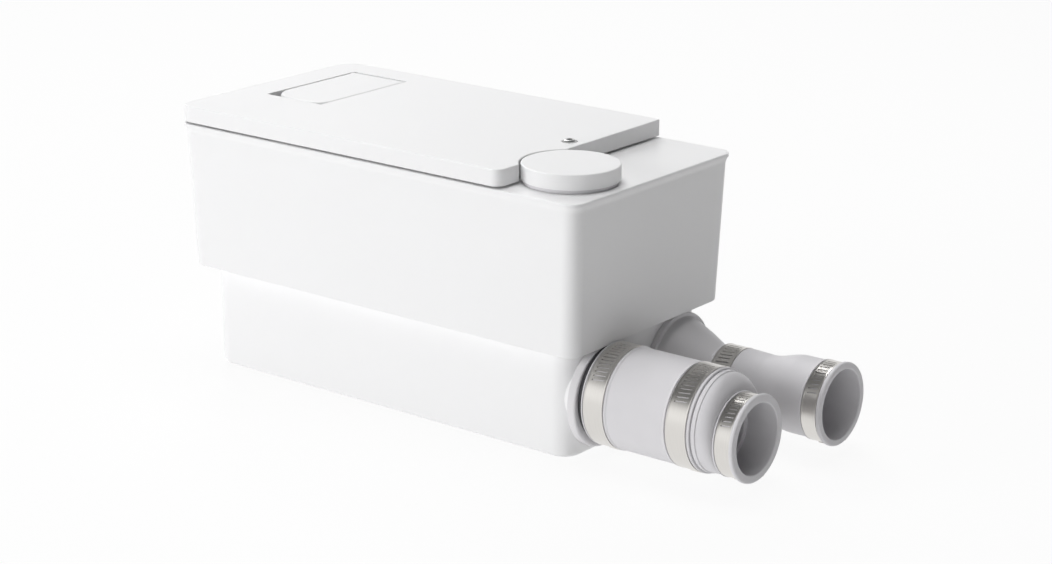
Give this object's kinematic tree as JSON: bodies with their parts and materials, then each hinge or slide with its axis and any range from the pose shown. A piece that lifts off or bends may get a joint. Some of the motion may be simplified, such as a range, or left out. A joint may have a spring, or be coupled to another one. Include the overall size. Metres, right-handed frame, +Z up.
{
  "type": "sewage lifting station",
  "caption": "Compact lifting station for grey water: tank under a boxed hood, lift-off lid with finger flap, round filter cap, two clamped pipe couplings, pump, valves and level switch inside.",
  "frame": {"origin": "middle of the whole unit's length and width, on the surface it stands on", "axes": "+X along the housing towards both ports, +Y towards the back, where the discharge is, +Z up"},
  "size_m": [0.4004, 0.1536, 0.1669],
  "materials": {
    "cover_white": "smooth moulded plastic, soft gloss",
    "tank_white": "smooth moulded plastic, soft gloss",
    "coupling_rubber": "light grey rubber, satin",
    "coupling_plastic": "light grey moulded plastic, satin",
    "band_steel": "rolled stainless band, fine brushing along the band",
    "screw_steel": "bright stainless steel",
    "shaft_steel": "ground steel",
    "dark_rubber": "dark rubber, matt",
    "grey_plastic": "mid grey moulded plastic",
    "pump_plastic": "glass-filled dark plastic, matt",
    "switch_plastic": "black moulded plastic",
    "motor_paint": "dark stoved paint on drawn steel",
    "cast_aluminium": "die-cast aluminium, blasted",
    "lamination": "stacked sheet steel, dull",
    "copper": "enamelled copper wire",
    "brass": "turned brass",
    "carbon": "pressed carbon granulate",
    "board_green": "green circuit board",
    "capacitor_can": "drawn aluminium can"
  },
  "bodies": {
    "station": {"tank": "tank_white", "feet": "dark_rubber", "tank_seal": "dark_rubber", "deck_plate": "grey_plastic", "deck_screws": "screw_steel", "hood": "cover_white", "cable_grommet": "dark_rubber", "lid_seal": "dark_rubber", "lid_insert": "brass", "neck_gasket": "coupling_rubber", "filter_housing": "grey_plastic", "inlet_collar": "coupling_plastic", "inlet_sleeve": "coupling_rubber", "inlet_reducer": "coupling_rubber", "discharge_nipple": "coupling_plastic", "discharge_sleeve": "coupling_rubber", "pump_casing": "pump_plastic", "pump_cover": "pump_plastic", "intake_strainer": "pump_plastic", "shaft_seal": "dark_rubber", "discharge_pipe": "dark_rubber", "check_valve_body": "pump_plastic", "valve_flap_pins": "screw_steel", "motor_bearings": "shaft_steel", "motor_flange": "cast_aluminium", "motor_can": "motor_paint", "motor_end_bell": "cast_aluminium", "motor_tie_rods": "screw_steel", "motor_stator": "lamination", "motor_windings": "copper", "pressure_bell": "grey_plastic", "pressure_switch": "switch_plastic", "board_rail": "grey_plastic", "control_board": "board_green", "board_components": "switch_plastic", "start_capacitor": "capacitor_can", "capacitor_clip": "screw_steel", "clamp_tank_band": "band_steel", "clamp_reducer_band": "band_steel", "clamp_inlet_pipe_band": "band_steel", "clamp_nipple_band": "band_steel", "clamp_outlet_pipe_band": "band_steel"},
    "pump_rotor": {"motor_shaft": "shaft_steel", "motor_rotor": "lamination", "impeller": "pump_plastic"},
    "inlet_backflow_flap": {"inlet_flap": "dark_rubber"},
    "discharge_check_flap": {"check_flap": "dark_rubber"},
    "lid": {"service_lid": "cover_white", "lid_flap_pin": "screw_steel"},
    "finger_flap": {"lid_flap": "cover_white"},
    "lid_fastener": {"lid_screw": "screw_steel", "lid_screw_retainer": "grey_plastic"},
    "filter_cartridge": {"filter_basket": "grey_plastic", "carbon_filter": "carbon"},
    "cap": {"filter_cap": "cover_white"},
    "worm_tank": {"clamp_tank_screw": "screw_steel"},
    "worm_reducer": {"clamp_reducer_screw": "screw_steel"},
    "worm_inlet_pipe": {"clamp_inlet_pipe_screw": "screw_steel"},
    "worm_nipple": {"clamp_nipple_screw": "screw_steel"},
    "worm_outlet_pipe": {"clamp_outlet_pipe_screw": "screw_steel"}
  },
  "joints": [
    {"name": "pump_spin", "type": "hinge", "parent": "station", "child": "pump_rotor", "pos_m": [-0.07025, 0.008, 0.03], "axis": [0, 0, 1], "continuous": true},
    {"name": "inlet_flap_swing", "type": "hinge", "parent": "station", "child": "inlet_backflow_flap", "pos_m": [0.07705, -0.0355, 0.0658], "axis": [0, 1, 0], "range_deg": [0, 60]},
    {"name": "check_flap_swing", "type": "hinge", "parent": "station", "child": "discharge_check_flap", "pos_m": [0.02368, 0.04, 0.0458], "axis": [0, -1, 0], "range_deg": [0, 60]},
    {"name": "lid_lift", "type": "slide", "parent": "station", "child": "lid", "axis": [0, 0, 1], "range_m": [0, 0.06]},
    {"name": "finger_flap_hinge", "type": "hinge", "parent": "lid", "child": "finger_flap", "pos_m": [-0.15525, 0.0542, 0.163], "axis": [-1, 0, 0], "range_deg": [0, 75]},
    {"name": "lid_screw_turn", "type": "hinge", "parent": "lid", "child": "lid_fastener", "pos_m": [0.03745, 0, 0.16], "axis": [0, 0, 1], "continuous": true},
    {"name": "filter_lift", "type": "slide", "parent": "station", "child": "filter_cartridge", "axis": [0, 0, 1], "range_m": [0, 0.06]},
    {"name": "cap_turn", "type": "hinge", "parent": "filter_cartridge", "child": "cap", "pos_m": [0.06655, -0.0371, 0.16], "axis": [0, 0, 1], "range_deg": [0, 90]},
    {"name": "clamp_tank_turn", "type": "hinge", "parent": "station", "child": "worm_tank", "pos_m": [0.10415, -0.01416, 0.01137], "axis": [0, 0.766, 0.6428], "continuous": true},
    {"name": "clamp_reducer_turn", "type": "hinge", "parent": "station", "child": "worm_reducer", "pos_m": [0.15935, -0.01416, 0.01137], "axis": [0, 0.766, 0.6428], "continuous": true},
    {"name": "clamp_inlet_pipe_turn", "type": "hinge", "parent": "station", "child": "worm_inlet_pipe", "pos_m": [0.18555, -0.01802, 0.01116], "axis": [0, 0.766, 0.6428], "continuous": true},
    {"name": "clamp_nipple_turn", "type": "hinge", "parent": "station", "child": "worm_nipple", "pos_m": [0.12815, 0.05433, 0.01492], "axis": [0, 0.766, 0.6428], "continuous": true},
    {"name": "clamp_outlet_pipe_turn", "type": "hinge", "parent": "station", "child": "worm_outlet_pipe", "pos_m": [0.19235, 0.05716, 0.01155], "axis": [0, 0.766, 0.6428], "continuous": true}
  ]
}
